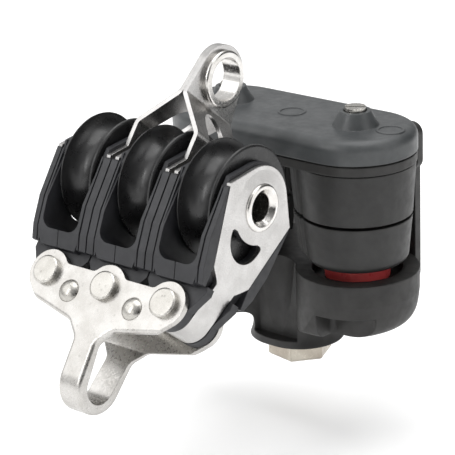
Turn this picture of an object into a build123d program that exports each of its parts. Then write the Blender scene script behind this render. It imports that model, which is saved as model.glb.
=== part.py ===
from build123d import *
from math import asin, atan2, cos, hypot, radians, sin
import os

# A triple-sheave sailing block with a becket and a cam cleat behind it. Millimetres.
# Origin: centre of the middle sheave. +X runs along the sheave axle, +Z along the two cam axes,
# +Y from the block towards the cleat. The block itself leans back from +Z by LEAN, so its pieces
# are drawn in block coordinates: x along the axle, back towards the cleat, up towards the becket.

os.makedirs("parts", exist_ok=True)

# ---- driving dimensions: block ----
LEAN = 39.0                 # lean of the block's long axis away from the cam axes, degrees
PITCH = 19.5                # distance between neighbouring sheaves
SHEAVE_R = 15.0
SHEAVE_HALF = 5.4           # half the width across a sheave's flanges
GROOVE_ROOT_R = 10.4
GROOVE_HALF = 4.75          # half the mouth of the rope groove
BUSH_R = 5.85
AXLE_R = 4.5
AXLE_HOLE_R = 3.6
RUNNING = 0.05              # radial running clearance of every turning pair
WINDOW_HALF = 6.0           # half the width of the rope window between a pair of cheeks
WINDOW_FLOOR = -20.8        # level of the window's lower edge
CHEEK_FRONT_OUT = 7.0       # outside of the cheek's thick front and back ribs
CHEEK_OUT = 7.65            # outside of the cheek wall
SEAM = 0.1                  # half the gap between the two halves of a cheek
LIP_INNER = 9.55            # lips beside the strap's edges, on a side that faces another unit
LIP_OUTER = 8.9             # the same on the block's two outer sides
LIP_GROOVE = 0.4            # width and depth of the groove between rib and lip
SKIRT_IN = 4.35             # the cheek's skirts hang between the strap's tail and the head plate
SKIRT_OUT = 7.0
SKIRT_R = 5.6               # round the head pin, below a band as wide as the lips
SKIRT_HOLE_R = 4.4
SKIRT_BAND = 0.9            # depth of that band below the cheek's foot
SHEET = 1.2                 # strap thickness
STRAP_OUT = 8.9             # outside of a strap leg, from its sheave's middle
HUB_R = 10.4                # rounded top of a strap leg, about the axle
SHOULDER = 14.1             # half the width of a strap leg at its shoulders
SHOULDER_UP = 0.4
TAPER_HALF = 8.0            # half the width of a strap leg where its tail begins
TAPER_UP = -18.8
TAIL_HALF = 4.0
TAIL_UP = -22.0
BEND_UP = -21.0             # level where the legs start to close on the head pin
HEAD_PIN_UP = -31.0
STRAP_BEND_R = 5.5          # outside radius of the strap's loop under its head pin
CUTOUT_R = 6.6              # half-round cut-out below each hub
CUTOUT_UP = -8.2
CUTOUT_HUB_R = 8.8

# ---- driving dimensions: becket ----
ARM_HALF = 9.4
ARM_BEND_UP = 12.3
EYE_BEND_UP = 21.8
EYE_BEND_HALF = 10.6
EYE_UP = 30.4
EYE_R = 8.8
EYE_HOLE_R = 6.5
FERRULE_BORE_R = 5.6
FERRULE_HALF = 2.8
FERRULE_LIP_R = 7.5         # rolled lips that hold the two arms together
ARM_WINDOW_HALF = 4.0
ARM_WINDOW_LOW = 9.6
ARM_WINDOW_TOP = 20.3

# ---- driving dimensions: head plate and its pins ----
PLATE_FACE = 8.8            # outside of the head's front and back plates
PLATE_IN = 7.2
PLATE_TOP = -27.9           # straight edge between the rounded pin seats
SEAT_R = 5.8
LOOP_UP = -53.2             # centre of the loop's round end
LOOP_OUT_R = 7.9
LOOP_IN_R = 5.1
LOOP_HALF = 3.7
LOOP_ROUND = 1.1
PIN_R = 2.6
PIN_HEAD_R = 3.75
PIN_HEAD = 1.6
SPACER_R = 4.2
RIVET_X = 10.5
RIVET_UP = -34.4
RIVET_R = 1.6
RIVET_HEAD_R = 3.0

# ---- driving dimensions: cleat ----
CAM_X = 21.0                # each cam axis from the middle
CAM_Y = 49.0
COVER_TOP = 7.1
SHELF_TOP = 0.85
SHELF_BOTTOM = -2.1
COVER_R = 16.3
BASE_TOP = -32.2
SEAT_FLOOR = -34.8          # round recess in the base for each cam's seat
BASE_SIDE = -38.0           # the base's walls start to curve under here
BASE_FLOOR = -56.4
BASE_R = 16.6
NOTCH_TOP = -41.6           # clearance notch under the front of each lobe
NOTCH_X = 26.6
NOTCH_Y = 34.75
NOTCH_SIZE = (15.0, 10.5)
BOSS_R = 11.8
LIP = -54.4                 # front edge of the rope channel's floor
THROAT_FACE = 41.0          # front of the base between its two lobes
CHANNEL_HALF = 8.6
CHANNEL_RISE = 84.0         # slope of the rope channel's floor, degrees
BACK_IN = 65.6
BACK_OUT = 68.0
BACK_HALF = 28.2
BACK_YOKE_HALF = 29.1       # the wall is a little wider beside the shelf
BACK_YOKE_FOOT = -9.0
BACK_TOP = 4.0
BACK_FOOT = -43.0
EXIT_HALF = 15.0
CAM_TOP = -2.4
CAM_BOTTOM = -30.0
CAM_SPLIT = -16.3
CAM_GAP = 0.9
CAM_R = 14.9                # at the foot of the upper drum; both drums widen upwards
CAM_LOW_R = 13.6            # at the foot of the lower drum
DRAFT = 3.8                 # slope of the upper drum's side, degrees
LOW_DRAFT = 5.4
POST_R = 4.0
JAW_REACH = 19.4            # from the cam axis to the tip of its jaw, at the upper drum's foot
SEAT_DISC_R = 8.8
SCREW_R = 2.4
SCREW_HEAD_R = 2.8
NUT_AF = 8.0
HEX_AF = 15.4
HEX_TURN = -9.6             # turn of the hex about its axis, degrees
HEX_BOTTOM = -62.5
BOLT_R = 4.0                # shank of the bolt that the hex belongs to, in the boss
BOLT_DEPTH = 4.4

# ---- placing: planes and points in block coordinates ----
BACK = Vector(0, cos(radians(LEAN)), -sin(radians(LEAN)))
UP = Vector(0, sin(radians(LEAN)), cos(radians(LEAN)))
UNITS = {"left": -PITCH, "middle": 0.0, "right": PITCH}


def block_point(x, back, up):
    return Vector(x, 0, 0) + BACK * back + UP * up


def side_plane(x):
    """Local axes are back and up; the normal is +X."""
    return Plane(origin=(x, 0, 0), x_dir=BACK, z_dir=(1, 0, 0))


def front_plane(back):
    """Local axes are +X and up; the normal points to the front of the block."""
    return Plane(origin=BACK * back, x_dir=(1, 0, 0), z_dir=BACK * -1)


def level(z):
    return Plane.XY.offset(z)


def save(piece, name):
    piece.part.label = name
    export_step(piece.part, f"parts/{name}.step")


# ---- sheaves, their bushes and the hollow axle ----
def make_sheave(x):
    """A grooved wheel turned about the axle."""
    with BuildPart() as sheave:
        with BuildSketch(Plane.XY):
            with BuildLine():
                rim = Polyline(
                    (x - GROOVE_HALF, SHEAVE_R),
                    (x - SHEAVE_HALF + 0.2, SHEAVE_R - 0.15),
                    (x - SHEAVE_HALF, SHEAVE_R - 0.6),
                    (x - SHEAVE_HALF + 0.15, BUSH_R),
                    (x + SHEAVE_HALF - 0.15, BUSH_R),
                    (x + SHEAVE_HALF, SHEAVE_R - 0.6),
                    (x + SHEAVE_HALF - 0.2, SHEAVE_R - 0.15),
                    (x + GROOVE_HALF, SHEAVE_R),
                )
                ThreePointArc(rim @ 1, (x, GROOVE_ROOT_R), rim @ 0)
            make_face()
        revolve(axis=Axis.X)
    return sheave


def make_bush(x):
    with BuildPart() as bush:
        with BuildSketch(side_plane(x)):
            Circle(BUSH_R)
            Circle(AXLE_R + RUNNING, mode=Mode.SUBTRACT)
        extrude(amount=SHEAVE_HALF + 0.2, both=True)
        chamfer(bush.edges().filter_by(GeomType.CIRCLE), length=0.2)
    return bush


ROLL_R = 6.1                # rolled lip of the axle, outside each outer strap
ROLL = 0.7
FUNNEL_R = 4.75             # flared mouth of the hollow axle
FUNNEL = 1.3
DISH = 0.45                 # pressed rise round the axle on the two outer straps
DISH_R = 9.4
STRAP_FACE = PITCH + STRAP_OUT + DISH
with BuildPart() as axle_tube:
    with BuildSketch(Plane.XY):
        with BuildLine():
            lip = Polyline(
                (-STRAP_FACE - ROLL, FUNNEL_R),
                (-STRAP_FACE - ROLL + FUNNEL, AXLE_HOLE_R),
                (STRAP_FACE + ROLL - FUNNEL, AXLE_HOLE_R),
                (STRAP_FACE + ROLL, FUNNEL_R),
                (STRAP_FACE + ROLL, ROLL_R - 0.9),
            )
            right_roll = ThreePointArc(
                lip @ 1, (STRAP_FACE + ROLL - 0.2, ROLL_R - 0.25), (STRAP_FACE, ROLL_R)
            )
            shaft = Polyline(
                right_roll @ 1,
                (STRAP_FACE, AXLE_R),
                (-STRAP_FACE, AXLE_R),
                (-STRAP_FACE, ROLL_R),
            )
            left_roll = ThreePointArc(
                shaft @ 1, (-STRAP_FACE - ROLL + 0.2, ROLL_R - 0.25), (-STRAP_FACE - ROLL, ROLL_R - 0.9)
            )
            Line(left_roll @ 1, lip @ 0)
        make_face()
    revolve(axis=Axis.X)
save(axle_tube, "axle_tube")


# ---- moulded cheeks: two halves round each sheave, meeting under it ----
def closed_half_outline(radius, side):
    """A shape mirrored about its upright axis: round top about the axle, then the given corners."""
    tangent = radius / 2**0.5
    with BuildSketch() as outline:
        with BuildLine():
            arc = ThreePointArc((-tangent, tangent), (0, radius), (tangent, tangent))
            right = Polyline(arc @ 1, *side)
            left = Polyline(arc @ 0, *[(-back, up) for back, up in side])
            Line(right @ 1, left @ 1)
        make_face()
    return outline.sketch


# half-round cut-out through cheek and strap, hugging the hub
with BuildSketch() as cutout_shape:
    with Locations((0, CUTOUT_UP)):
        Circle(CUTOUT_R)
    with Locations((0, CUTOUT_UP + CUTOUT_R)):
        Rectangle(4 * CUTOUT_R, 2 * CUTOUT_R, mode=Mode.SUBTRACT)
    Circle(CUTOUT_HUB_R, mode=Mode.SUBTRACT)
    fillet(cutout_shape.vertices(), radius=0.8)
cutout = cutout_shape.sketch

FOOT = -24.7
rib_outline = closed_half_outline(
    HUB_R + 0.7, [(13.4, 2.3), (13.3, -13.5), (11.4, -20.6), (9.2, FOOT)]
)
wall_outline = closed_half_outline(
    HUB_R + 0.7, [(13.9, 1.8), (TAPER_HALF + 0.7, TAPER_UP), (TAPER_HALF - 0.2, TAIL_UP)]
)


LIP_EDGE = [(14.2, -0.3), (13.3, -13.5), (11.3, -20.6), (9.4, -24.2)]
GROOVE_EDGE = [(back - LIP_GROOVE, up) for back, up in LIP_EDGE]


def both_ways(points):
    """The outline and its mirror image, as two filled faces."""
    with BuildSketch() as pair:
        for hand in (-1, 1):
            with BuildLine():
                Polyline(*[(hand * back, up) for back, up in points], close=True)
            make_face()
    return pair.sketch


lip_outline = both_ways(LIP_EDGE + [(8.1, -24.2), (8.1, -19.0)])
groove_outline = both_ways(GROOVE_EDGE + [(20, -24.3), (20, -0.2)])


def make_cheek(x, hand):
    """One half shell; hand is -1 for the left half and +1 for the right half."""
    faces_out = abs(x + hand * PITCH) > PITCH
    lip_out = LIP_OUTER if faces_out else LIP_INNER
    with BuildPart() as cheek:
        with BuildSketch(side_plane(x + hand * SEAM)):
            add(rib_outline)
        extrude(amount=hand * (CHEEK_FRONT_OUT - SEAM))
        with BuildSketch(side_plane(x + hand * CHEEK_FRONT_OUT)):
            add(wall_outline)
        extrude(amount=hand * (CHEEK_OUT - CHEEK_FRONT_OUT))
        # rope window, open front to back and to the top, with rounded lower corners
        with BuildSketch(front_plane(0)) as window:
            with Locations((x, WINDOW_FLOOR + 20)):
                RectangleRounded(2 * WINDOW_HALF, 40, 3.0)
        extrude(amount=30, both=True, mode=Mode.SUBTRACT)
        # the foot narrows where the strap closes on the head pin
        with BuildSketch(front_plane(0)):
            with BuildLine():
                Polyline(
                    (x + hand * 5.4, FOOT - 1),
                    (x + hand * (CHEEK_OUT + 0.01), BEND_UP + 0.4),
                    (x + hand * 12, BEND_UP + 0.4),
                    (x + hand * 12, FOOT - 1),
                    close=True,
                )
            make_face()
        extrude(amount=30, both=True, mode=Mode.SUBTRACT)
        with BuildSketch(side_plane(x)):
            add(cutout)
            Circle(AXLE_R + RUNNING)
        extrude(amount=hand * 30, mode=Mode.SUBTRACT)
        # lips that cover the strap's front and back edges, set off by a fine groove
        with BuildSketch(side_plane(x + hand * (CHEEK_FRONT_OUT - 0.5))):
            add(lip_outline)
        extrude(amount=hand * (lip_out - CHEEK_FRONT_OUT + 0.5))
        with BuildSketch(side_plane(x + hand * CHEEK_FRONT_OUT)):
            add(groove_outline)
        extrude(amount=hand * LIP_GROOVE, mode=Mode.SUBTRACT)
        # skirts between strap and head plate, narrowing to a ring round the head pin's spacer
        for start in (SKIRT_IN, -SKIRT_OUT):
            with BuildSketch(front_plane(start)):
                with Locations((x, HEAD_PIN_UP)):
                    Circle(SKIRT_R)
                with Locations((x - hand * (SKIRT_R - SEAM), HEAD_PIN_UP)):
                    Rectangle(2 * SKIRT_R, 3 * SKIRT_R, mode=Mode.SUBTRACT)
                with BuildLine():
                    Polyline(
                        (x + hand * SEAM, FOOT + 0.8),
                        (x + hand * lip_out, FOOT + 0.8),
                        (x + hand * lip_out, FOOT - SKIRT_BAND),
                        (x + hand * SKIRT_R, HEAD_PIN_UP),
                        (x + hand * SEAM, HEAD_PIN_UP),
                        close=True,
                    )
                make_face()
                with Locations((x, HEAD_PIN_UP)):
                    Circle(SKIRT_HOLE_R, mode=Mode.SUBTRACT)
            extrude(amount=SKIRT_IN - SKIRT_OUT)
    return cheek


# ---- straps: a U of sheet round each head pin, two of them running up to the becket eye ----
leg_outline = closed_half_outline(
    HUB_R,
    [
        (SHOULDER, SHOULDER_UP),
        (TAPER_HALF, TAPER_UP),
        (TAIL_HALF, TAIL_UP),
        (TAIL_HALF, HEAD_PIN_UP - 10),
    ],
)

with BuildSketch() as arm_shape:
    arm_side = [
        (EYE_R * 0.99, EYE_UP + 1.0),
        (EYE_BEND_HALF, EYE_BEND_UP),
        (ARM_HALF, ARM_BEND_UP),
        (ARM_HALF, ARM_BEND_UP - 7.5),
        (ARM_HALF + 2, ARM_BEND_UP - 10),
    ]
    with BuildLine():
        right_edge = Polyline(*arm_side)
        left_edge = Polyline(*[(-back, up) for back, up in arm_side])
        ThreePointArc(right_edge @ 0, (0, EYE_UP + EYE_R), left_edge @ 0)
        Line(right_edge @ 1, left_edge @ 1)
    make_face()
arm_outline = arm_shape.sketch


def strap_path(x, eye_x):
    """Middle line of the bent sheet seen from the front, and the radius of each bend."""
    mid = STRAP_OUT - SHEET / 2
    bend = STRAP_BEND_R - SHEET / 2
    # the two closing legs meet here; the bend's centre lies on the head pin
    apex = HEAD_PIN_UP - bend / sin(closing_angle(mid, bend))
    points = [(x - mid, HUB_R + 1), (x - mid, BEND_UP), (x, apex), (x + mid, BEND_UP)]
    radii = [2.0, bend, 2.0]
    if eye_x is None:
        points.append((x + mid, HUB_R + 1))
    else:
        points += [(x + mid, ARM_BEND_UP), (eye_x, EYE_BEND_UP), (eye_x, EYE_UP + 20)]
        radii += [2.0, 2.0]
    return points, radii


def closing_angle(mid, bend):
    """Angle between a closing leg and the upright, for a leg that ends tangent to the bend."""
    rise = BEND_UP - HEAD_PIN_UP
    return atan2(mid, rise) - asin(bend / hypot(mid, rise))


def make_strap(x, eye_x=None, dish_hand=0):
    points, radii = strap_path(x, eye_x)
    with BuildPart() as strap:
        with BuildSketch(front_plane(0)):
            with BuildLine():
                sheet = FilletPolyline(*points, radius=radii)
                offset(sheet, amount=SHEET / 2, side=Side.BOTH)
            make_face()
        extrude(amount=20, both=True)
        with BuildSketch(side_plane(x)):
            add(leg_outline)
            if eye_x is not None:
                add(arm_outline)
        extrude(amount=40, both=True, mode=Mode.INTERSECT)
        # axle hole, and the half-round cut-out that follows the hub
        with BuildSketch(side_plane(x)):
            add(cutout)
            Circle(AXLE_R + RUNNING)
        extrude(amount=15, both=True, mode=Mode.SUBTRACT)
        if eye_x is not None:
            with BuildSketch(side_plane(x)):
                with Locations((0, EYE_UP)):
                    Circle(EYE_HOLE_R + RUNNING)
                with Locations((0, (ARM_WINDOW_LOW + ARM_WINDOW_TOP) / 2)):
                    SlotOverall(
                        ARM_WINDOW_TOP - ARM_WINDOW_LOW, 2 * ARM_WINDOW_HALF, rotation=90
                    )
            extrude(amount=40, mode=Mode.SUBTRACT)
            # the short leg keeps the plain rounded top
            with BuildSketch(side_plane(x)):
                with Locations((0, 20 + SHOULDER_UP)):
                    Rectangle(40, 40)
                add(leg_outline, mode=Mode.SUBTRACT)
            extrude(amount=-15, mode=Mode.SUBTRACT)
        # pressed dish round the axle on an outer strap
        outer = dish_hand * STRAP_OUT
        if dish_hand:
            with BuildSketch(Plane.XY):
                with BuildLine():
                    Polyline(
                        (x + outer - dish_hand * 0.3, AXLE_R + RUNNING),
                        (x + outer + dish_hand * DISH, AXLE_R + RUNNING),
                        (x + outer + dish_hand * DISH, ROLL_R + 0.3),
                        (x + outer, DISH_R),
                        (x + outer - dish_hand * 0.3, DISH_R),
                        close=True,
                    )
                make_face()
            revolve(axis=Axis.X)
    return strap


EYE_X = {"left": -SHEET / 2, "middle": SHEET / 2, "right": None}
DISH_HAND = {"left": -1, "middle": 0, "right": 1}
for side, x in UNITS.items():
    save(make_sheave(x), f"sheave_{side}")
    save(make_bush(x), f"sheave_bush_{side}")
    save(make_cheek(x, -1), f"cheek_{side}_a")
    save(make_cheek(x, 1), f"cheek_{side}_b")
    save(make_strap(x, EYE_X[side], DISH_HAND[side]), f"strap_{side}")


# ---- head: one U of plate that holds the three head pins and ends in a loop ----
with BuildPart() as head_plate:
    with BuildSketch(side_plane(0)):
        with BuildLine():
            outside = Polyline((-PLATE_FACE, -20), (-PLATE_FACE, -42), (-LOOP_OUT_R, LOOP_UP))
            turn = ThreePointArc(outside @ 1, (0, LOOP_UP - LOOP_OUT_R), (LOOP_OUT_R, LOOP_UP))
            rise = Polyline(
                turn @ 1, (PLATE_FACE, -42), (PLATE_FACE, -20), (PLATE_IN, -20), (PLATE_IN, -41.5),
                (LOOP_IN_R, LOOP_UP),
            )
            inner_turn = ThreePointArc(rise @ 1, (0, LOOP_UP - LOOP_IN_R), (-LOOP_IN_R, LOOP_UP))
            Polyline(inner_turn @ 1, (-PLATE_IN, -41.5), (-PLATE_IN, -20), outside @ 0)
        make_face()
    extrude(amount=40, both=True)
    with BuildSketch(front_plane(0)) as plate_outline:
        with BuildLine():
            Polyline(
                (-PITCH, PLATE_TOP), (PITCH, PLATE_TOP), (PITCH + 3.4, -35.8), (PITCH + 0.5, -38.4),
                (7.2, -41.3), (LOOP_HALF, -45.0), (LOOP_HALF, LOOP_UP - 12),
                (-LOOP_HALF, LOOP_UP - 12), (-LOOP_HALF, -45.0), (-7.2, -41.3),
                (-PITCH - 0.5, -38.4), (-PITCH - 3.4, -35.8), close=True,
            )
        make_face()
        with Locations(*[(x, HEAD_PIN_UP) for x in UNITS.values()]):
            Circle(SEAT_R)
        neck = plate_outline.vertices().filter_by(lambda corner: abs(corner.Y + 45.0) < 0.01)
        fillet(neck, radius=3.0)
        waist = plate_outline.vertices().filter_by(lambda corner: abs(corner.Y + 41.3) < 0.01)
        fillet(waist, radius=3.0)
        valleys = plate_outline.vertices().filter_by(lambda corner: abs(corner.Y - PLATE_TOP) < 0.01)
        fillet(valleys, radius=2.0)
    extrude(amount=30, both=True, mode=Mode.INTERSECT)
    with BuildSketch(front_plane(0)):
        with Locations(*[(x, HEAD_PIN_UP) for x in UNITS.values()]):
            Circle(PIN_R)
        with Locations((-RIVET_X, RIVET_UP), (RIVET_X, RIVET_UP)):
            Circle(RIVET_R)
    extrude(amount=30, both=True, mode=Mode.SUBTRACT)
    # the loop's outer edges are rounded
    loop_edges = head_plate.edges().filter_by(
        lambda edge: abs(abs(edge.center().X) - LOOP_HALF) < 0.01
        and edge.center().dot(UP) < LOOP_UP + 4.5
        and (abs(edge.center().dot(BACK)) > LOOP_OUT_R or edge.center().dot(UP) < LOOP_UP - LOOP_IN_R - 1)
    )
    fillet(loop_edges, radius=LOOP_ROUND)
save(head_plate, "head_plate")

REAR_HEAD = 1.4             # height of a pin's peened rear end


def turned_pin(x, up, profile):
    """A pin turned about a front-to-back line of the block; profile is radius against depth."""
    axis_plane = Plane(origin=block_point(x, 0, up), x_dir=(1, 0, 0), z_dir=UP)
    with BuildPart() as pin:
        with BuildSketch(axis_plane):
            with BuildLine():
                Polyline(*profile, close=True)
            make_face()
        revolve(axis=Axis(block_point(x, 0, up), BACK))
    return pin


for side, x in UNITS.items():
    head_pin = turned_pin(x, HEAD_PIN_UP, [
        (0, -PLATE_FACE - PIN_HEAD),
        (PIN_HEAD_R - 0.45, -PLATE_FACE - PIN_HEAD),
        (PIN_HEAD_R, -PLATE_FACE - PIN_HEAD + 0.3),
        (PIN_HEAD_R, -PLATE_FACE),
        (PIN_R, -PLATE_FACE),
        (PIN_R, PLATE_FACE),
        (PIN_HEAD_R - 0.2, PLATE_FACE),
        (PIN_HEAD_R - 0.5, PLATE_FACE + 0.7),
        (1.6, PLATE_FACE + REAR_HEAD),
        (0, PLATE_FACE + REAR_HEAD),
    ])
    save(head_pin, f"head_pin_{side}")
    head_spacer = turned_pin(x, HEAD_PIN_UP, [
        (PIN_R, -PLATE_IN), (SPACER_R, -PLATE_IN), (SPACER_R, PLATE_IN), (PIN_R, PLATE_IN),
    ])
    save(head_spacer, f"head_spacer_{side}")

with BuildPart() as plate_rivets:
    for x in (-RIVET_X, RIVET_X):
        with BuildSketch(Plane(origin=block_point(x, 0, RIVET_UP), x_dir=(1, 0, 0), z_dir=UP)):
            with BuildLine():
                dome = ThreePointArc(
                    (0, -PLATE_FACE - 1.4),
                    (RIVET_HEAD_R * 0.62, -PLATE_FACE - 1.05),
                    (RIVET_HEAD_R, -PLATE_FACE),
                )
                shank = Polyline(
                    dome @ 1, (RIVET_R, -PLATE_FACE), (RIVET_R, PLATE_FACE + 2.0),
                    (RIVET_HEAD_R - 0.2, PLATE_FACE + 2.0), (RIVET_HEAD_R - 0.6, PLATE_FACE + 2.9),
                    (0, PLATE_FACE + 3.1),
                )
                Line(shank @ 1, dome @ 0)
            make_face()
        revolve(axis=Axis(block_point(x, 0, RIVET_UP), BACK))
save(plate_rivets, "plate_rivets")

with BuildPart() as rivet_spacers:
    with BuildSketch(front_plane(0)):
        with Locations((-RIVET_X, RIVET_UP), (RIVET_X, RIVET_UP)):
            Circle(RIVET_R + 1.0)
            Circle(RIVET_R, mode=Mode.SUBTRACT)
    extrude(amount=PLATE_IN, both=True)
save(rivet_spacers, "rivet_spacers")

# ---- becket eye: a flanged ferrule through the two plates ----
with BuildPart() as becket_ferrule:
    with BuildSketch(side_plane(0)):
        with Locations((0, EYE_UP)):
            Circle(EYE_HOLE_R)
    extrude(amount=FERRULE_HALF, both=True)
    for hand in (-1, 1):
        with BuildSketch(side_plane(hand * SHEET)):
            with Locations((0, EYE_UP)):
                Circle(FERRULE_LIP_R)
        extrude(amount=hand * (FERRULE_HALF - SHEET))
    rims = becket_ferrule.edges().group_by(Axis.X)
    fillet(rims[0] + rims[-1], radius=0.7)
    with BuildSketch(side_plane(0)):
        with Locations((0, EYE_UP)):
            Circle(FERRULE_BORE_R)
    extrude(amount=FERRULE_HALF, both=True, mode=Mode.SUBTRACT)
save(becket_ferrule, "becket_ferrule")


# ---- cleat: cover, shelf and back wall ----
def rounded_bar(half, radius):
    """Full length and width of a bar with round ends."""
    return 2 * half, 2 * radius


COVER_HALF = CAM_X + COVER_R
BOSS_FOOT_R = 6.2           # raised boss round each screw
BOSS_RISE = 4.0
PAD_RISE = 0.18
with BuildPart() as cleat_cover:
    with BuildSketch(level(SHELF_TOP)):
        with Locations((0, CAM_Y)):
            SlotOverall(*rounded_bar(COVER_HALF, COVER_R))
    extrude(amount=COVER_TOP - SHELF_TOP)
    top_rim = cleat_cover.faces().sort_by(Axis.Z)[-1].edges()
    fillet(top_rim, radius=2.8)
    # raised screw bosses
    with BuildSketch(level(COVER_TOP)):
        with Locations((-CAM_X, CAM_Y), (CAM_X, CAM_Y)):
            Circle(BOSS_FOOT_R)
    extrude(amount=BOSS_RISE, taper=27)
    # raised ring pads: one in the middle, one at each end
    with BuildSketch(level(COVER_TOP)):
        with Locations((0, CAM_Y), (-31.5, CAM_Y + 1), (31.5, CAM_Y + 1)):
            Circle(3.8)
            Circle(3.1, mode=Mode.SUBTRACT)
    extrude(amount=PAD_RISE)
    with BuildSketch(level(COVER_TOP + BOSS_RISE)):
        with Locations((-CAM_X, CAM_Y), (CAM_X, CAM_Y)):
            Circle(SCREW_HEAD_R + 0.3)
    extrude(amount=-1.2, mode=Mode.SUBTRACT)
    with Locations((-CAM_X, CAM_Y, 0), (CAM_X, CAM_Y, 0)):
        Cylinder(SCREW_R, 60, mode=Mode.SUBTRACT)
save(cleat_cover, "cleat_cover")

with BuildPart() as cleat_frame:
    with BuildSketch(level(SHELF_BOTTOM)):
        with Locations((0, CAM_Y)):
            SlotOverall(*rounded_bar(COVER_HALF - 0.2, COVER_R - 0.2))
    extrude(amount=SHELF_TOP - SHELF_BOTTOM - 0.5)
    with BuildSketch(level(SHELF_TOP - 0.5)):
        with Locations((0, CAM_Y)):
            SlotOverall(*rounded_bar(COVER_HALF - 0.7, COVER_R - 0.7))
    extrude(amount=0.5)
    # two legs behind the cams, joined by the shelf; the rope leaves between them
    with BuildSketch(Plane(origin=(0, BACK_IN, 0), x_dir=(-1, 0, 0), z_dir=(0, 1, 0))):
        with Locations((0, (BACK_TOP + BACK_FOOT) / 2)):
            RectangleRounded(2 * BACK_HALF, BACK_TOP - BACK_FOOT, 5)
        with Locations((0, (BACK_TOP + BACK_YOKE_FOOT) / 2)):
            RectangleRounded(2 * BACK_YOKE_HALF, BACK_TOP - BACK_YOKE_FOOT, 3)
        with Locations((0, SHELF_BOTTOM - 30)):
            Rectangle(2 * EXIT_HALF, 60, mode=Mode.SUBTRACT)
    extrude(amount=BACK_OUT - BACK_IN)
    with BuildSketch(Plane(origin=(0, CAM_Y, 0), x_dir=(-1, 0, 0), z_dir=(0, 1, 0))):
        with Locations((0, (SHELF_TOP + SHELF_BOTTOM) / 2)):
            Rectangle(2 * CAM_X, SHELF_TOP - SHELF_BOTTOM - 1)
    extrude(amount=BACK_IN - CAM_Y + 1)
    with Locations((-CAM_X, CAM_Y, 0), (CAM_X, CAM_Y, 0)):
        Cylinder(SCREW_R, 60, mode=Mode.SUBTRACT)
save(cleat_frame, "cleat_frame")

# ---- cleat base: two lobes under the cams, closing to a boss, with a rope channel up the middle ----
channel_along = Vector(0, cos(radians(CHANNEL_RISE)), sin(radians(CHANNEL_RISE)))
channel_up = Vector(0, -sin(radians(CHANNEL_RISE)), cos(radians(CHANNEL_RISE)))
channel_plane = Plane(
    origin=Vector(0, THROAT_FACE, LIP) + channel_up * CHANNEL_HALF, x_dir=(-1, 0, 0), z_dir=channel_along
)
POCKET_TOP = -43.0
TONGUE_TOP = -38.4
TONGUE = 2.4
with BuildPart() as cleat_base:
    with BuildSketch(level(BASE_SIDE)):
        with Locations((0, CAM_Y)):
            SlotOverall(*rounded_bar(CAM_X + BASE_R, BASE_R))
    extrude(amount=BASE_TOP - BASE_SIDE)
    underside = [
        (BASE_SIDE, CAM_X + BASE_R, BASE_R),
        (-42.5, CAM_X + BASE_R - 0.7, BASE_R - 0.3),
        (-46.5, CAM_X + BASE_R - 3.0, BASE_R - 1.2),
        (-48.6, CAM_X + BASE_R - 8.1, BASE_R - 2.4),
        (BASE_FLOOR, BOSS_R + 1.5, BOSS_R),
    ]
    for z, half, radius in underside:
        with BuildSketch(level(z)):
            with Locations((0, CAM_Y)):
                SlotOverall(*rounded_bar(half, radius))
    loft()
    # throat: the front between the lobes steps back to the channel's mouth
    with BuildSketch(level(LIP)):
        with Locations((0, THROAT_FACE - 10)):
            Rectangle(2 * CAM_X, 20)
        with Locations((-CAM_X, CAM_Y), (CAM_X, CAM_Y)):
            Circle(BASE_R, mode=Mode.SUBTRACT)
    extrude(amount=40, mode=Mode.SUBTRACT)
    with BuildSketch(channel_plane):
        Circle(CHANNEL_HALF)
        with Locations((0, 20)):
            Rectangle(2 * CHANNEL_HALF, 40)
    extrude(amount=60, mode=Mode.SUBTRACT)
    # clearance notches under the lobes, nut pockets and screw holes
    with BuildSketch(level(NOTCH_TOP)):
        for hand in (-1, 1):
            with Locations((hand * NOTCH_X, NOTCH_Y)):
                RectangleRounded(*NOTCH_SIZE, 1.5)
    extrude(amount=-20, mode=Mode.SUBTRACT)
    with BuildSketch(level(POCKET_TOP)):
        with Locations((-CAM_X, CAM_Y), (CAM_X, CAM_Y)):
            Circle(5.2)
    extrude(amount=-20, mode=Mode.SUBTRACT)
    with Locations((-CAM_X, CAM_Y, -40), (CAM_X, CAM_Y, -40)):
        Cylinder(SCREW_R, 60, mode=Mode.SUBTRACT)
    with Locations((0, CAM_Y + 1, BASE_FLOOR)):
        Cylinder(BOLT_R, 2 * BOLT_DEPTH + 0.8, mode=Mode.SUBTRACT)
    with BuildSketch(level(SEAT_FLOOR)):
        with Locations((-CAM_X, CAM_Y), (CAM_X, CAM_Y)):
            Circle(SEAT_DISC_R + 3.4)
    extrude(amount=20, mode=Mode.SUBTRACT)
    # slot for the arm's tongue, clamped by the left cam's screw
    with BuildSketch(level(TONGUE_TOP)):
        with Locations((-15.7, 42)):
            Rectangle(13.4, 26)
    extrude(amount=-TONGUE, mode=Mode.SUBTRACT)
save(cleat_base, "cleat_base")

with BuildPart() as base_bolt:
    with BuildSketch(level(BASE_FLOOR)):
        with Locations((0, CAM_Y + 1)):
            Circle(HEX_AF / 2)
    extrude(amount=-1.2)
    with BuildSketch(level(BASE_FLOOR - 1.2)):
        with Locations((0, CAM_Y + 1)):
            RegularPolygon(HEX_AF / 2, 6, major_radius=False, rotation=HEX_TURN)
    extrude(amount=HEX_BOTTOM - BASE_FLOOR + 1.2)
    chamfer(base_bolt.faces().sort_by(Axis.Z)[0].edges(), length=0.6)
    with BuildSketch(level(BASE_FLOOR)):
        with Locations((0, CAM_Y + 1)):
            Circle(BOLT_R)
    extrude(amount=BOLT_DEPTH)
save(base_bolt, "base_bolt")


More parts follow.
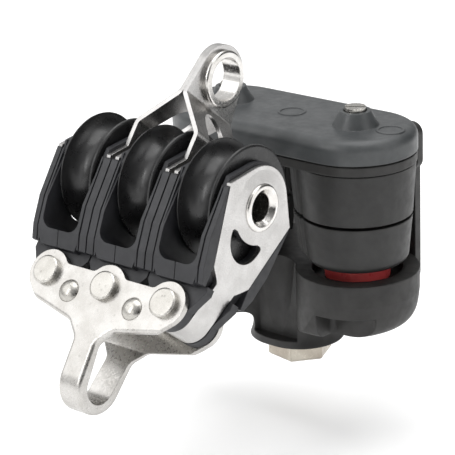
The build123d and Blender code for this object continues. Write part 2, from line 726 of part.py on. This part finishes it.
# ---- cams, their posts, seats and springs ----
def jaw_outline(radius, reach, hand):
    """A round cam whose toothed jaw swells towards the other cam."""
    teeth = 10
    start, tip, heel = 235.0, 172.0, 148.0

    def spot(angle, distance):
        turn = radians(angle)
        return (hand * distance * cos(turn), distance * sin(turn))

    points = []
    for step in range(2 * teeth + 1):
        share = step / (2 * teeth)
        swell = radius + (reach - radius) * share
        points.append(spot(start + (tip - start) * share, swell - 0.7 * (step % 2)))
    points.append(spot(heel, radius))
    if hand > 0:
        points.reverse()    # keeps the face's normal upwards
    with BuildSketch() as outline:
        with BuildLine():
            jaw = Polyline(*points)
            ThreePointArc(jaw @ 1, spot((heel + start) / 2 - 180, radius), jaw @ 0)
        make_face()
    return outline.sketch


SPRING_POCKET_R = 7.9
SPRING_POCKET_TOP = -23.5


def make_cam(hand):
    centre = (hand * CAM_X, CAM_Y)
    with BuildPart() as cam:
        with BuildSketch(level(CAM_BOTTOM)):
            with Locations(centre):
                add(jaw_outline(CAM_LOW_R, JAW_REACH - 1.4, hand))
        extrude(amount=CAM_SPLIT - CAM_GAP - CAM_BOTTOM, taper=-LOW_DRAFT)
        with BuildSketch(level(CAM_SPLIT - CAM_GAP)):
            with Locations(centre):
                Circle(CAM_LOW_R - 1.4)
        extrude(amount=CAM_GAP)
        with BuildSketch(level(CAM_SPLIT)):
            with Locations(centre):
                add(jaw_outline(CAM_R, JAW_REACH, hand))
        extrude(amount=CAM_TOP - CAM_SPLIT, taper=-DRAFT)
        # the lower edge is turned in to a small round foot
        with BuildSketch(Plane.XZ.offset(-CAM_Y)):
            with BuildLine():
                edge = Polyline(
                    (hand * CAM_X + CAM_LOW_R - 2.2, CAM_BOTTOM - 0.01),
                    (hand * CAM_X + 30, CAM_BOTTOM - 0.01),
                    (hand * CAM_X + 30, CAM_BOTTOM + 2.4),
                    (hand * CAM_X + CAM_LOW_R + 0.22, CAM_BOTTOM + 2.4),
                )
                ThreePointArc(
                    edge @ 1,
                    (hand * CAM_X + CAM_LOW_R - 0.55, CAM_BOTTOM + 0.65),
                    edge @ 0,
                )
            make_face()
        revolve(axis=Axis((hand * CAM_X, CAM_Y, 0), (0, 0, 1)), mode=Mode.SUBTRACT)
        with BuildSketch(level(CAM_BOTTOM)):
            with Locations(centre):
                Circle(SPRING_POCKET_R)
        extrude(amount=SPRING_POCKET_TOP - CAM_BOTTOM, mode=Mode.SUBTRACT)
        with BuildSketch(level(CAM_BOTTOM)):
            with Locations(centre):
                Circle(POST_R + RUNNING)
        extrude(amount=40, mode=Mode.SUBTRACT)
    return cam


def make_post(hand):
    """Sleeve that the cam turns on, between the base and the shelf."""
    with BuildPart() as post:
        with BuildSketch(level(SEAT_FLOOR)):
            with Locations((hand * CAM_X, CAM_Y)):
                Circle(POST_R)
                Circle(SCREW_R, mode=Mode.SUBTRACT)
        extrude(amount=SHELF_BOTTOM - SEAT_FLOOR)
    return post


def make_seat(hand):
    """Bearing disc under the cam, with a low collar that centres the spring."""
    with BuildPart() as seat:
        with BuildSketch(level(SEAT_FLOOR)):
            with Locations((hand * CAM_X, CAM_Y)):
                Circle(SEAT_DISC_R)
        extrude(amount=CAM_BOTTOM - 0.3 - SEAT_FLOOR)
        fillet(seat.faces().sort_by(Axis.Z)[0].edges(), radius=0.6)
        with BuildSketch(level(CAM_BOTTOM - 0.3)):
            with Locations((hand * CAM_X, CAM_Y)):
                Circle(5.2)
        extrude(amount=1.5)
        with Locations((hand * CAM_X, CAM_Y, SEAT_FLOOR)):
            Cylinder(POST_R, 30, mode=Mode.SUBTRACT)
    return seat


def make_spring(hand):
    """Torsion coil round the post, inside the cam's pocket."""
    wire = 0.55
    turns_height = 3.9
    foot = CAM_BOTTOM + 0.5
    centre = (hand * CAM_X, CAM_Y, foot)
    with BuildPart() as spring:
        with BuildLine():
            coil = Helix(pitch=1.3, height=turns_height, radius=6.5, center=centre)
        with BuildSketch(Plane(origin=coil @ 0, z_dir=coil % 0)):
            Circle(wire)
        sweep()
    return spring


for side, hand in {"left": -1, "right": 1}.items():
    save(make_cam(hand), f"cam_{side}")
    save(make_post(hand), f"cam_post_{side}")
    save(make_seat(hand), f"cam_seat_{side}")
    save(make_spring(hand), f"cam_spring_{side}")

with BuildPart() as cleat_screws:
    for hand in (-1, 1):
        head_seat = COVER_TOP + 3.0
        with BuildSketch(level(head_seat)):
            with Locations((hand * CAM_X, CAM_Y)):
                Circle(SCREW_HEAD_R)
        extrude(amount=2.0)
        with BuildSketch(level(head_seat)):
            with Locations((hand * CAM_X, CAM_Y)):
                Circle(SCREW_R)
        extrude(amount=POCKET_TOP - 5.0 - head_seat)
        with BuildSketch(level(head_seat + 2.0)):
            with Locations((hand * CAM_X, CAM_Y)):
                Rectangle(6.5, 0.9, rotation=35)
        extrude(amount=-0.9, mode=Mode.SUBTRACT)
save(cleat_screws, "cleat_screws")

with BuildPart() as cleat_nuts:
    with BuildSketch(level(POCKET_TOP)):
        for hand in (-1, 1):
            with Locations((hand * CAM_X, CAM_Y)):
                RegularPolygon(NUT_AF / 2, 6, major_radius=False)
                Circle(SCREW_R, mode=Mode.SUBTRACT)
    extrude(amount=-4.0)
save(cleat_nuts, "cleat_nuts")

# ---- link: a bracket on the head's back plate, a pivot pin and the arm that carries the cleat ----
PIVOT_BACK = 17.0
PIVOT_UP = -31.0
PIVOT_R = 2.2
EAR_R = 4.6
EAR_IN = 3.25               # half the gap between the ears
EAR = 1.7
ARM_X = -10.65
pivot = block_point(ARM_X, PIVOT_BACK, PIVOT_UP)
with BuildPart() as pivot_bracket:
    with BuildSketch(front_plane(PLATE_FACE)):
        with Locations((-2, RIVET_UP + 0.2)):
            RectangleRounded(34, 7.4, 1.5)
        with Locations((0, HEAD_PIN_UP), (-PITCH, HEAD_PIN_UP)):
            Circle(PIN_HEAD_R + 0.3, mode=Mode.SUBTRACT)
        with Locations((-RIVET_X, RIVET_UP), (RIVET_X, RIVET_UP)):
            Circle(RIVET_R, mode=Mode.SUBTRACT)
    extrude(amount=-2.0)
    for start in (ARM_X - EAR_IN - EAR, ARM_X + EAR_IN):
        with BuildSketch(side_plane(start)):
            with BuildLine():
                ear = Polyline(
                    (PIVOT_BACK, PIVOT_UP + EAR_R), (PLATE_FACE, RIVET_UP + 3.6),
                    (PLATE_FACE, RIVET_UP - 3.2), (PIVOT_BACK, PIVOT_UP - EAR_R),
                )
                ThreePointArc(ear @ 1, (PIVOT_BACK + EAR_R, PIVOT_UP), ear @ 0)
            make_face()
            with Locations((PIVOT_BACK, PIVOT_UP)):
                Circle(PIVOT_R, mode=Mode.SUBTRACT)
        extrude(amount=EAR)
save(pivot_bracket, "pivot_bracket")

with BuildPart() as pivot_pin:
    with BuildSketch(side_plane(ARM_X)):
        with Locations((PIVOT_BACK, PIVOT_UP)):
            Circle(PIVOT_R)
    extrude(amount=EAR_IN + EAR + 1.6, both=True)
    with BuildSketch(side_plane(ARM_X)):
        with Locations((PIVOT_BACK, PIVOT_UP)):
            Circle(PIVOT_R + 1.3)
    extrude(amount=EAR_IN + EAR + 1.4, both=True)
    with BuildSketch(side_plane(ARM_X)):
        with Locations((PIVOT_BACK, PIVOT_UP)):
            Circle(PIVOT_R + 2)
            Circle(PIVOT_R, mode=Mode.SUBTRACT)
    extrude(amount=EAR_IN + EAR, both=True, mode=Mode.SUBTRACT)
save(pivot_pin, "pivot_pin")

with BuildPart() as cleat_arm:
    # knuckle between the ears
    with BuildSketch(Plane(origin=(ARM_X, 0, 0), x_dir=(0, 1, 0), z_dir=(1, 0, 0))):
        with Locations((pivot.Y, pivot.Z)):
            Circle(EAR_R - 0.4)
        with BuildLine():
            Polyline(
                (pivot.Y - 2.5, pivot.Z - 3.3), (pivot.Y + 3.0, TONGUE_TOP - TONGUE - 1.6),
                (32.0, TONGUE_TOP - TONGUE), (33.0, TONGUE_TOP - TONGUE), (33.0, TONGUE_TOP),
                (pivot.Y + 7.0, TONGUE_TOP), (pivot.Y + 3.2, pivot.Z + 2.2), close=True,
            )
        make_face()
        with Locations((pivot.Y, pivot.Z)):
            Circle(PIVOT_R + RUNNING, mode=Mode.SUBTRACT)
    extrude(amount=EAR_IN - 0.15, both=True)
    with BuildSketch(level(TONGUE_TOP)):
        with Locations((-15.7, 43)):
            Rectangle(13.0, 21)
        with Locations((-CAM_X, CAM_Y)):
            Circle(SCREW_R, mode=Mode.SUBTRACT)
    extrude(amount=-TONGUE)
save(cleat_arm, "cleat_arm")
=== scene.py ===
import bpy
from mathutils import Matrix, Vector


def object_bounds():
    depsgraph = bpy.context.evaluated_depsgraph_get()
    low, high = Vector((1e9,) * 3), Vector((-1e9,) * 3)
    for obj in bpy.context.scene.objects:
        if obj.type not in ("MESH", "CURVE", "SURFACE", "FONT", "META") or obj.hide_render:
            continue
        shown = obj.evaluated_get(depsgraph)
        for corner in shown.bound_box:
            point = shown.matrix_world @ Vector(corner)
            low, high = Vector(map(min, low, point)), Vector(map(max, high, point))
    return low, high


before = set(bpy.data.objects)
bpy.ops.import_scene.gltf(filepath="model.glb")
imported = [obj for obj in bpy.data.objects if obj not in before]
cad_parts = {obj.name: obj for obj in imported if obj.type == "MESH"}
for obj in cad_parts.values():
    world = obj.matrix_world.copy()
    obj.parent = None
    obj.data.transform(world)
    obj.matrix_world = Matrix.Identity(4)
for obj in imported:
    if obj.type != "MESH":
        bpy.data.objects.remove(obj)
cad_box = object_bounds()

MM = 0.001

# the studio
SWING_ROOM = 17 * MM        # the part hangs, and its cleat swings this far below its rest
FLOOR_SIZE = 8
FLOOR_GLOW = 0.28           # keeps the pale floor white in the picture
LIGHTS_AIM = (0, 0.02, -0.02)
WHEELS_AIM = (0, 0, 0)
ROOM_DARK = 0.06            # the unlit side of the room
ROOM_BRIGHT = 0.75          # the white tent above and on the left
ROOM_AXIS = Vector((-0.62, -0.2, 0.76)).normalized()
ROOM_FADE = (-0.25, 0.75)   # from dark to bright, as the cosine to that axis

# the photo's own angle
CAMERA_PLACE = Vector((338.91, -377.26, 172.86)) * MM
CAMERA_RIGHT = Vector((0.76900, 0.63831, -0.03457))
CAMERA_FORWARD = Vector((-0.60928, 0.71551, -0.34179))
CAMERA_LENS = 168.6         # for a sensor 36 mm wide
CAMERA_SENSOR = 36
NEAREST = 0.01
FARTHEST = 20

# grain sizes of the plastics
CLOUD_MM = 6.0              # cloudy colour
SCUFF_MM = 0.9
GLOSS_MM = 2.2              # patches of more and less gloss
WAVE_MM = 4.0               # long waves of the surface

# grain sizes of the steels
STAIN_MM = 5.0
SPECK_MM = 1.5
SPECK_PATCH_MM = 3.5        # patches with many or few specks
BRUSHED_MM = 0.22
TUMBLED_MM = 0.6
DENT_MM = 2.6

MOTTLE_MM = 40              # grain size of the floor paper
NOISE_ROUGHNESS = 0.55
BEVEL_SAMPLES = 4
NO_STRETCH = (1, 1, 1)
SCUFF_STRETCH = (1.0, 0.16, 0.22)
SCUFF_TURN = (0.5, 0.3, 0.8)
SCUFF_SHARE = 0.4           # of the paler colour in a scuff
PALER_GAIN = 1.6            # a scuff's colour, from the plastic's lighter one
PALER_LIFT = 0.015
SPECK_SHADE = 0.55          # a speck's colour, from the steel's darker one
GLOSS_LOW, GLOSS_HIGH = -0.06, 0.08     # change of a plastic's roughness from place to place
ROUGH_LOW, ROUGH_HIGH = -0.07, 0.09     # the same for steel

# bumps, as their height in mm and strength
WAVES = (0.12, 0.2)
PITS = (-0.06, 0.5)
LINES = (0.012, 0.35)
DENTS = (0.05, 0.25)
GRAIN_HEIGHT = 0.03


# ---------------------------------------------------------------- node-material helpers
def set_range(node, low, high, low_out, high_out):
    """Set a Map Range node's input and output ranges."""
    for key, number in (("From Min", low), ("From Max", high), ("To Min", low_out), ("To Max", high_out)):
        node.inputs[key].default_value = number


class Graph:
    """A thin wrapper that keeps node-building code short."""

    def __init__(self, name):
        self.material = bpy.data.materials.new(name)
        self.material.use_nodes = True
        self.nodes = self.material.node_tree.nodes
        self.links = self.material.node_tree.links
        self.shader = self.nodes["Principled BSDF"]
        self.place = self.add("ShaderNodeTexCoord").outputs["Object"]

    def add(self, kind, **settings):
        node = self.nodes.new(kind)
        for key, value in settings.items():
            setattr(node, key, value)
        return node

    def set(self, node, **values):
        for key, value in values.items():
            socket = node.inputs[key.replace("_", " ")]
            if hasattr(value, "is_output"):
                self.links.new(value, socket)
            else:
                socket.default_value = value
        return node

    def stretched(self, scale, turn=(0, 0, 0)):
        """Object coordinates, turned and then scaled, for brushed or drawn surfaces."""
        mapping = self.add("ShaderNodeMapping", vector_type="TEXTURE")
        self.set(mapping, Vector=self.place, Rotation=turn)
        mapping.inputs["Scale"].default_value = scale
        return mapping.outputs["Vector"]

    def noise(self, size_mm, detail, place=None):
        """Noise whose grains are about size_mm across."""
        node = self.add("ShaderNodeTexNoise")
        self.set(node, Vector=place or self.place, Scale=1 / (size_mm * MM), Detail=detail)
        node.inputs["Roughness"].default_value = NOISE_ROUGHNESS
        return node.outputs["Fac"]

    def spots(self, size_mm):
        """Distance to scattered points, for pits and specks."""
        node = self.add("ShaderNodeTexVoronoi", feature="F1")
        self.set(node, Vector=self.place, Scale=1 / (size_mm * MM))
        return node.outputs["Distance"]

    def ramp(self, value, low, high, low_out=0.0, high_out=1.0):
        """A smooth step from one output level to another."""
        node = self.add("ShaderNodeMapRange", interpolation_type="SMOOTHSTEP")
        self.set(node, Value=value)
        set_range(node, low, high, low_out, high_out)
        return node.outputs["Result"]

    def blend(self, share, first, second):
        """Mix two colours, each a tuple or a socket."""
        node = self.add("ShaderNodeMix", data_type="RGBA")
        self.links.new(share, node.inputs[0])
        for socket, colour in ((node.inputs[6], first), (node.inputs[7], second)):
            if hasattr(colour, "is_output"):
                self.links.new(colour, socket)
            else:
                socket.default_value = (*colour, 1)
        return node.outputs[2]

    def bumps(self, layers, edge_mm):
        """Stack bump layers, given as (height, distance in mm, strength), over softened edges."""
        bevel = self.add("ShaderNodeBevel", samples=BEVEL_SAMPLES)
        bevel.inputs["Radius"].default_value = edge_mm * MM
        normal = bevel.outputs["Normal"]
        for height, distance_mm, strength in layers:
            bump = self.add("ShaderNodeBump")
            self.set(bump, Height=height, Strength=strength, Distance=distance_mm * MM, Normal=normal)
            normal = bump.outputs["Normal"]
        self.links.new(normal, self.shader.inputs["Normal"])


def plastic(name, dark, light, gloss, grain_mm, grain, edge_mm):
    """Moulded plastic: cloudy colour, fine grain, small changes of gloss and a few scuffs."""
    graph = Graph(name)
    cloud = graph.ramp(graph.noise(CLOUD_MM, 4), 0.3, 0.7)
    colour = graph.blend(cloud, dark, light)
    scuff_place = graph.stretched(scale=SCUFF_STRETCH, turn=SCUFF_TURN)
    scuffs = graph.ramp(graph.noise(SCUFF_MM, 2, scuff_place), 0.66, 0.76, 0.0, SCUFF_SHARE)
    paler = tuple(min(1.0, channel * PALER_GAIN + PALER_LIFT) for channel in light)
    colour = graph.blend(scuffs, colour, paler)
    graph.set(graph.shader, Base_Color=colour)
    rough = graph.ramp(graph.noise(GLOSS_MM, 5), 0.25, 0.75, gloss + GLOSS_LOW, gloss + GLOSS_HIGH)
    graph.set(graph.shader, Roughness=rough)
    layers = [
        (graph.noise(grain_mm, 3), GRAIN_HEIGHT, grain),
        (graph.noise(WAVE_MM, 2), *WAVES),
    ]
    graph.bumps(layers, edge_mm)
    return graph.material


def steel(name, dark, light, rough, edge_mm, brush=None, speckle=None):
    """Stainless steel: brushed or tumbled, with faint scratches, stains and specks."""
    graph = Graph(name)
    stains = graph.ramp(graph.noise(STAIN_MM, 5), 0.3, 0.72)
    colour = graph.blend(stains, dark, light)
    layers = []
    if speckle:
        specks = graph.ramp(graph.spots(SPECK_MM), 0.10, 0.32, 1.0, 0.0)
        patchy = graph.ramp(graph.noise(SPECK_PATCH_MM, 3), 0.42, 0.62, 0.0, speckle)
        both = graph.add("ShaderNodeMath", operation="MULTIPLY")
        graph.links.new(specks, both.inputs[0])
        graph.links.new(patchy, both.inputs[1])
        colour = graph.blend(both.outputs[0], colour, tuple(channel * SPECK_SHADE for channel in dark))
        layers.append((both.outputs[0], *PITS))
    graph.set(graph.shader, Base_Color=colour)
    graph.shader.inputs["Metallic"].default_value = 1.0
    lines_place = graph.stretched(scale=brush or NO_STRETCH)
    lines = graph.noise(BRUSHED_MM if brush else TUMBLED_MM, 3, lines_place)
    uneven = graph.ramp(lines, 0.25, 0.75, rough + ROUGH_LOW, rough + ROUGH_HIGH)
    graph.set(graph.shader, Roughness=uneven)
    layers.append((lines, *LINES))
    layers.append((graph.noise(DENT_MM, 3), *DENTS))
    graph.bumps(layers, edge_mm)
    return graph.material


# ---------------------------------------------------------------- materials of each group of nodes
MATERIALS = {
    "sheave": plastic(
        "sheave_acetal", (0.010, 0.010, 0.0105), (0.019, 0.019, 0.0195),
        gloss=0.3, grain_mm=0.5, grain=0.08, edge_mm=0.3,
    ),
    "bush": plastic(
        "bush_resin", (0.5, 0.46, 0.38), (0.66, 0.6, 0.5),
        gloss=0.45, grain_mm=0.35, grain=0.25, edge_mm=0.3,
    ),
    "cheek": plastic(
        "cheek_nylon", (0.014, 0.0145, 0.017), (0.023, 0.0235, 0.027),
        gloss=0.5, grain_mm=0.28, grain=0.35, edge_mm=0.3,
    ),
    "cover": plastic(
        "cover_moulding", (0.044, 0.048, 0.05), (0.066, 0.07, 0.072),
        gloss=0.38, grain_mm=0.25, grain=0.35, edge_mm=0.5,
    ),
    "housing": plastic(
        "housing_nylon", (0.0125, 0.0119, 0.0112), (0.021, 0.0201, 0.019),
        gloss=0.5, grain_mm=0.3, grain=0.3, edge_mm=0.6,
    ),
    "cam": plastic(
        "cam_composite", (0.0115, 0.0113, 0.0108), (0.019, 0.0188, 0.018),
        gloss=0.48, grain_mm=0.3, grain=0.25, edge_mm=0.5,
    ),
    "seat": plastic(
        "seat_red_resin", (0.9, 0.1, 0.105), (0.98, 0.15, 0.15),
        gloss=0.3, grain_mm=0.5, grain=0.12, edge_mm=0.4,
    ),
    "strap": steel(
        "strap_steel", (0.5, 0.49, 0.48), (0.6, 0.59, 0.58),
        rough=0.3, edge_mm=0.2, brush=(0.3, 1.4, 1.4),
    ),
    "plate": steel(
        "plate_steel", (0.47, 0.455, 0.432), (0.57, 0.557, 0.537),
        rough=0.3, edge_mm=0.2, speckle=0.3,
    ),
    "pin": steel(
        "pin_steel", (0.44, 0.425, 0.395), (0.56, 0.545, 0.515),
        rough=0.28, edge_mm=0.35, speckle=0.5,
    ),
    "axle": steel(
        "axle_steel", (0.66, 0.64, 0.61), (0.8, 0.785, 0.765),
        rough=0.2, edge_mm=0.3,
    ),
    "bolt": steel(
        "bolt_steel", (0.4, 0.355, 0.3), (0.54, 0.5, 0.43),
        rough=0.32, edge_mm=0.5, speckle=0.6,
    ),
}

LOOKS = {
    "sheave_bush": "bush", "sheave": "sheave", "cheek": "cheek", "strap": "strap", "axle_tube": "axle",
    "head_plate": "plate", "head_pin": "pin", "head_spacer": "pin", "plate_rivets": "pin",
    "rivet_spacers": "pin", "becket_ferrule": "axle", "cleat_cover": "cover", "cleat_frame": "housing",
    "cleat_base": "housing", "base_bolt": "bolt", "cleat_screws": "pin", "cleat_nuts": "bolt",
    "cam_post": "pin", "cam_seat": "seat", "cam_spring": "axle", "cam": "cam", "pivot_bracket": "plate",
    "pivot_pin": "pin", "cleat_arm": "plate",
}


def look_of(node):
    """The longest entry of LOOKS that the node's name starts with."""
    fitting = [start for start in LOOKS if node.startswith(start)]
    return MATERIALS[LOOKS[max(fitting, key=len)]]


for node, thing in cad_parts.items():
    if not thing.material_slots:
        thing.data.materials.append(None)
    for slot in thing.material_slots:
        slot.material = look_of(node)


# ---------------------------------------------------------------- floor, light and camera
def make_floor():
    level = cad_box[0][2] - SWING_ROOM
    bpy.ops.mesh.primitive_plane_add(size=FLOOR_SIZE, location=(0, 0, level))
    floor = bpy.context.object
    floor.name = "floor"
    graph = Graph("floor_paper")
    mottle = graph.ramp(graph.noise(MOTTLE_MM, 3), 0.3, 0.7)
    paper = graph.blend(mottle, (0.88, 0.88, 0.88), (0.92, 0.92, 0.92))
    graph.set(graph.shader, Base_Color=paper, Roughness=0.9, Emission_Color=paper)
    graph.shader.inputs["Emission Strength"].default_value = FLOOR_GLOW
    floor.data.materials.append(graph.material)


def area_light(name, place, aim, size, power):
    data = bpy.data.lights.new(name, "AREA")
    data.shape = "RECTANGLE"
    data.size, data.size_y = size
    data.energy = power
    light = bpy.data.objects.new(name, data)
    bpy.context.collection.objects.link(light)
    light.location = place
    light.rotation_euler = (Vector(aim) - Vector(place)).to_track_quat("-Z", "Y").to_euler()


def light_studio():
    """A white tent on the left and above, darker to the right of the camera, and five soft lights."""
    world = bpy.data.worlds.new("studio")
    bpy.context.scene.world = world
    world.use_nodes = True
    nodes = world.node_tree.nodes
    links = world.node_tree.links
    towards = nodes.new("ShaderNodeVectorMath")
    towards.operation = "DOT_PRODUCT"
    towards.inputs[1].default_value = ROOM_AXIS
    links.new(nodes.new("ShaderNodeTexCoord").outputs["Generated"], towards.inputs[0])
    fade = nodes.new("ShaderNodeMapRange")
    fade.interpolation_type = "SMOOTHSTEP"
    set_range(fade, *ROOM_FADE, ROOM_DARK, ROOM_BRIGHT)
    links.new(towards.outputs["Value"], fade.inputs["Value"])
    links.new(fade.outputs["Result"], nodes["Background"].inputs["Strength"])
    nodes["Background"].inputs["Color"].default_value = (1, 1, 1, 1)
    area_light("key", (-0.5, -0.5, 0.62), LIGHTS_AIM, size=(0.8, 0.8), power=2.2)
    area_light("side", (0.8, 0.2, 0.4), LIGHTS_AIM, size=(0.5, 0.8), power=2.0)
    area_light("top", (0.05, 0.2, 0.95), LIGHTS_AIM, size=(0.9, 0.9), power=6.0)
    area_light("fill", (0.1, -0.9, 0.1), LIGHTS_AIM, size=(0.35, 0.7), power=0.8)
    area_light("strip", (-0.25, -0.75, 0.42), WHEELS_AIM, size=(0.14, 0.6), power=1.6)


def make_camera():
    data = bpy.data.cameras.new("camera")
    data.sensor_width = CAMERA_SENSOR
    data.lens = CAMERA_LENS
    data.clip_start = NEAREST
    data.clip_end = FARTHEST
    camera = bpy.data.objects.new("camera", data)
    bpy.context.collection.objects.link(camera)
    up = CAMERA_RIGHT.cross(CAMERA_FORWARD)
    turn = Matrix((CAMERA_RIGHT, up, -CAMERA_FORWARD)).transposed().to_4x4()
    camera.matrix_world = Matrix.Translation(CAMERA_PLACE) @ turn
    bpy.context.scene.camera = camera


make_floor()
light_studio()
make_camera()
bpy.context.scene.view_settings.view_transform = "Standard"
